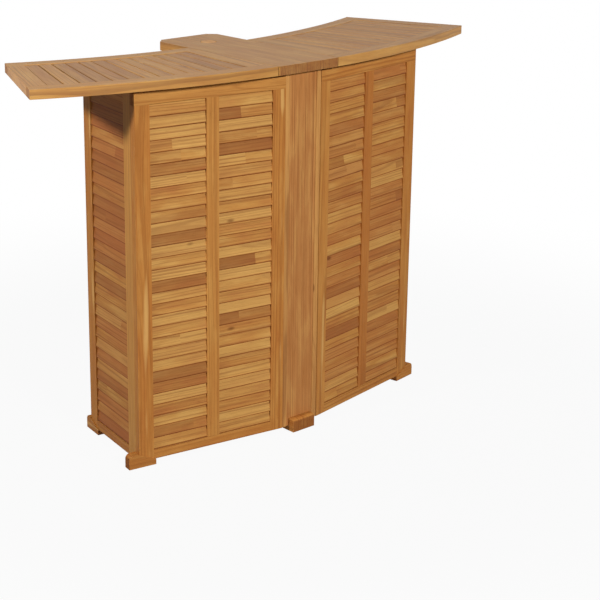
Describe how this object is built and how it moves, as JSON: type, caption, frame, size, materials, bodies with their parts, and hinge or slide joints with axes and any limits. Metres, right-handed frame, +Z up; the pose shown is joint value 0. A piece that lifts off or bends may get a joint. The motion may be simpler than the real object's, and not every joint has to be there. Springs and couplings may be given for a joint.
{
  "type": "folding bar table",
  "caption": "Slatted wooden folding bar table: a curved counter of hinged leaves on a central column, with louvred wing and end panels that fold in below it.",
  "frame": {"origin": "on the floor, under the middle of the bounding box of the open bar", "axes": "+Z up, +X along the counter to the right as the guests see it, guests' side at -Y"},
  "size_m": [1.55, 0.533, 1.05],
  "materials": {
    "top_wood": "oiled teak, greyish tan",
    "frame_wood": "oiled teak, honey brown",
    "slat_wood": "oiled teak, mixed tones",
    "column_wood": "oiled teak, reddish",
    "hinge_metal": "satin"
  },
  "bodies": {
    "centre": {"centre_top": "top_wood", "column_face": "column_wood", "column_cheek_left": "column_wood", "column_cheek_right": "column_wood", "spine_front_stile": "frame_wood", "spine_rear_stile": "frame_wood", "spine_top_rail": "frame_wood", "spine_bottom_rail": "frame_wood", "spine_slats": "slat_wood", "centre_front_foot": "frame_wood", "centre_rear_foot": "frame_wood", "column_hinges": "hinge_metal", "top_hinges": "hinge_metal"},
    "plug": {"parasol_plug": "top_wood"},
    "left_wing": {"left_wing_outer_stile": "frame_wood", "left_wing_inner_stile": "frame_wood", "left_wing_mullion": "frame_wood", "left_wing_top_rail": "frame_wood", "left_wing_bottom_rail": "frame_wood", "left_wing_slats": "slat_wood", "left_wing_foot": "frame_wood", "left_wing_hinges": "hinge_metal", "left_wing_rest_buttons": "frame_wood"},
    "left_end": {"left_end_front_stile": "frame_wood", "left_end_rear_stile": "frame_wood", "left_end_top_rail": "frame_wood", "left_end_bottom_rail": "frame_wood", "left_end_slats": "slat_wood", "left_end_foot": "frame_wood", "left_end_hinges": "hinge_metal"},
    "left_leaf": {"left_leaf_front_rail": "top_wood", "left_leaf_back_rail": "top_wood", "left_leaf_root_rail": "top_wood", "left_leaf_tip_rail": "top_wood", "left_leaf_slats": "top_wood", "left_leaf_hinges": "hinge_metal"},
    "right_wing": {"right_wing_outer_stile": "frame_wood", "right_wing_inner_stile": "frame_wood", "right_wing_mullion": "frame_wood", "right_wing_top_rail": "frame_wood", "right_wing_bottom_rail": "frame_wood", "right_wing_slats": "slat_wood", "right_wing_foot": "frame_wood", "right_wing_hinges": "hinge_metal", "right_wing_rest_buttons": "frame_wood"},
    "right_end": {"right_end_front_stile": "frame_wood", "right_end_rear_stile": "frame_wood", "right_end_top_rail": "frame_wood", "right_end_bottom_rail": "frame_wood", "right_end_slats": "slat_wood", "right_end_foot": "frame_wood", "right_end_hinges": "hinge_metal"},
    "right_leaf": {"right_leaf_front_rail": "top_wood", "right_leaf_back_rail": "top_wood", "right_leaf_root_rail": "top_wood", "right_leaf_tip_rail": "top_wood", "right_leaf_slats": "top_wood", "right_leaf_hinges": "hinge_metal"}
  },
  "joints": [
    {"name": "left_wing_fold", "type": "hinge", "parent": "centre", "child": "left_wing", "pos_m": [-0.0675, -0.2205, 0.5155], "axis": [0, 0, -1], "range_deg": [0, 80.5]},
    {"name": "left_end_fold", "type": "hinge", "parent": "left_wing", "child": "left_end", "pos_m": [-0.48026, -0.15143, 0.5155], "axis": [0, 0, -1], "range_deg": [0, 90]},
    {"name": "left_leaf_hinge", "type": "hinge", "parent": "centre", "child": "left_leaf", "pos_m": [-0.107, -0.0415, 1.0215], "axis": [0, 1, 0], "range_deg": [-90, 3]},
    {"name": "right_wing_fold", "type": "hinge", "parent": "centre", "child": "right_wing", "pos_m": [0.0675, -0.2205, 0.5155], "axis": [0, 0, 1], "range_deg": [0, 80.5]},
    {"name": "right_end_fold", "type": "hinge", "parent": "right_wing", "child": "right_end", "pos_m": [0.48026, -0.15143, 0.5155], "axis": [0, 0, 1], "range_deg": [0, 90]},
    {"name": "right_leaf_hinge", "type": "hinge", "parent": "centre", "child": "right_leaf", "pos_m": [0.107, -0.0415, 1.0215], "axis": [0, -1, 0], "range_deg": [-90, 3]},
    {"name": "plug_lift", "type": "slide", "parent": "centre", "child": "plug", "axis": [0, 0, 1], "range_m": [0, 0.06]}
  ],
  "couplings": [
    {"joint": "left_end_fold", "follows": "left_wing_fold", "ratio": 1.118},
    {"joint": "left_leaf_hinge", "follows": "left_wing_fold", "ratio": 0.031056},
    {"joint": "right_end_fold", "follows": "right_wing_fold", "ratio": 1.118},
    {"joint": "right_leaf_hinge", "follows": "right_wing_fold", "ratio": 0.031056}
  ]
}
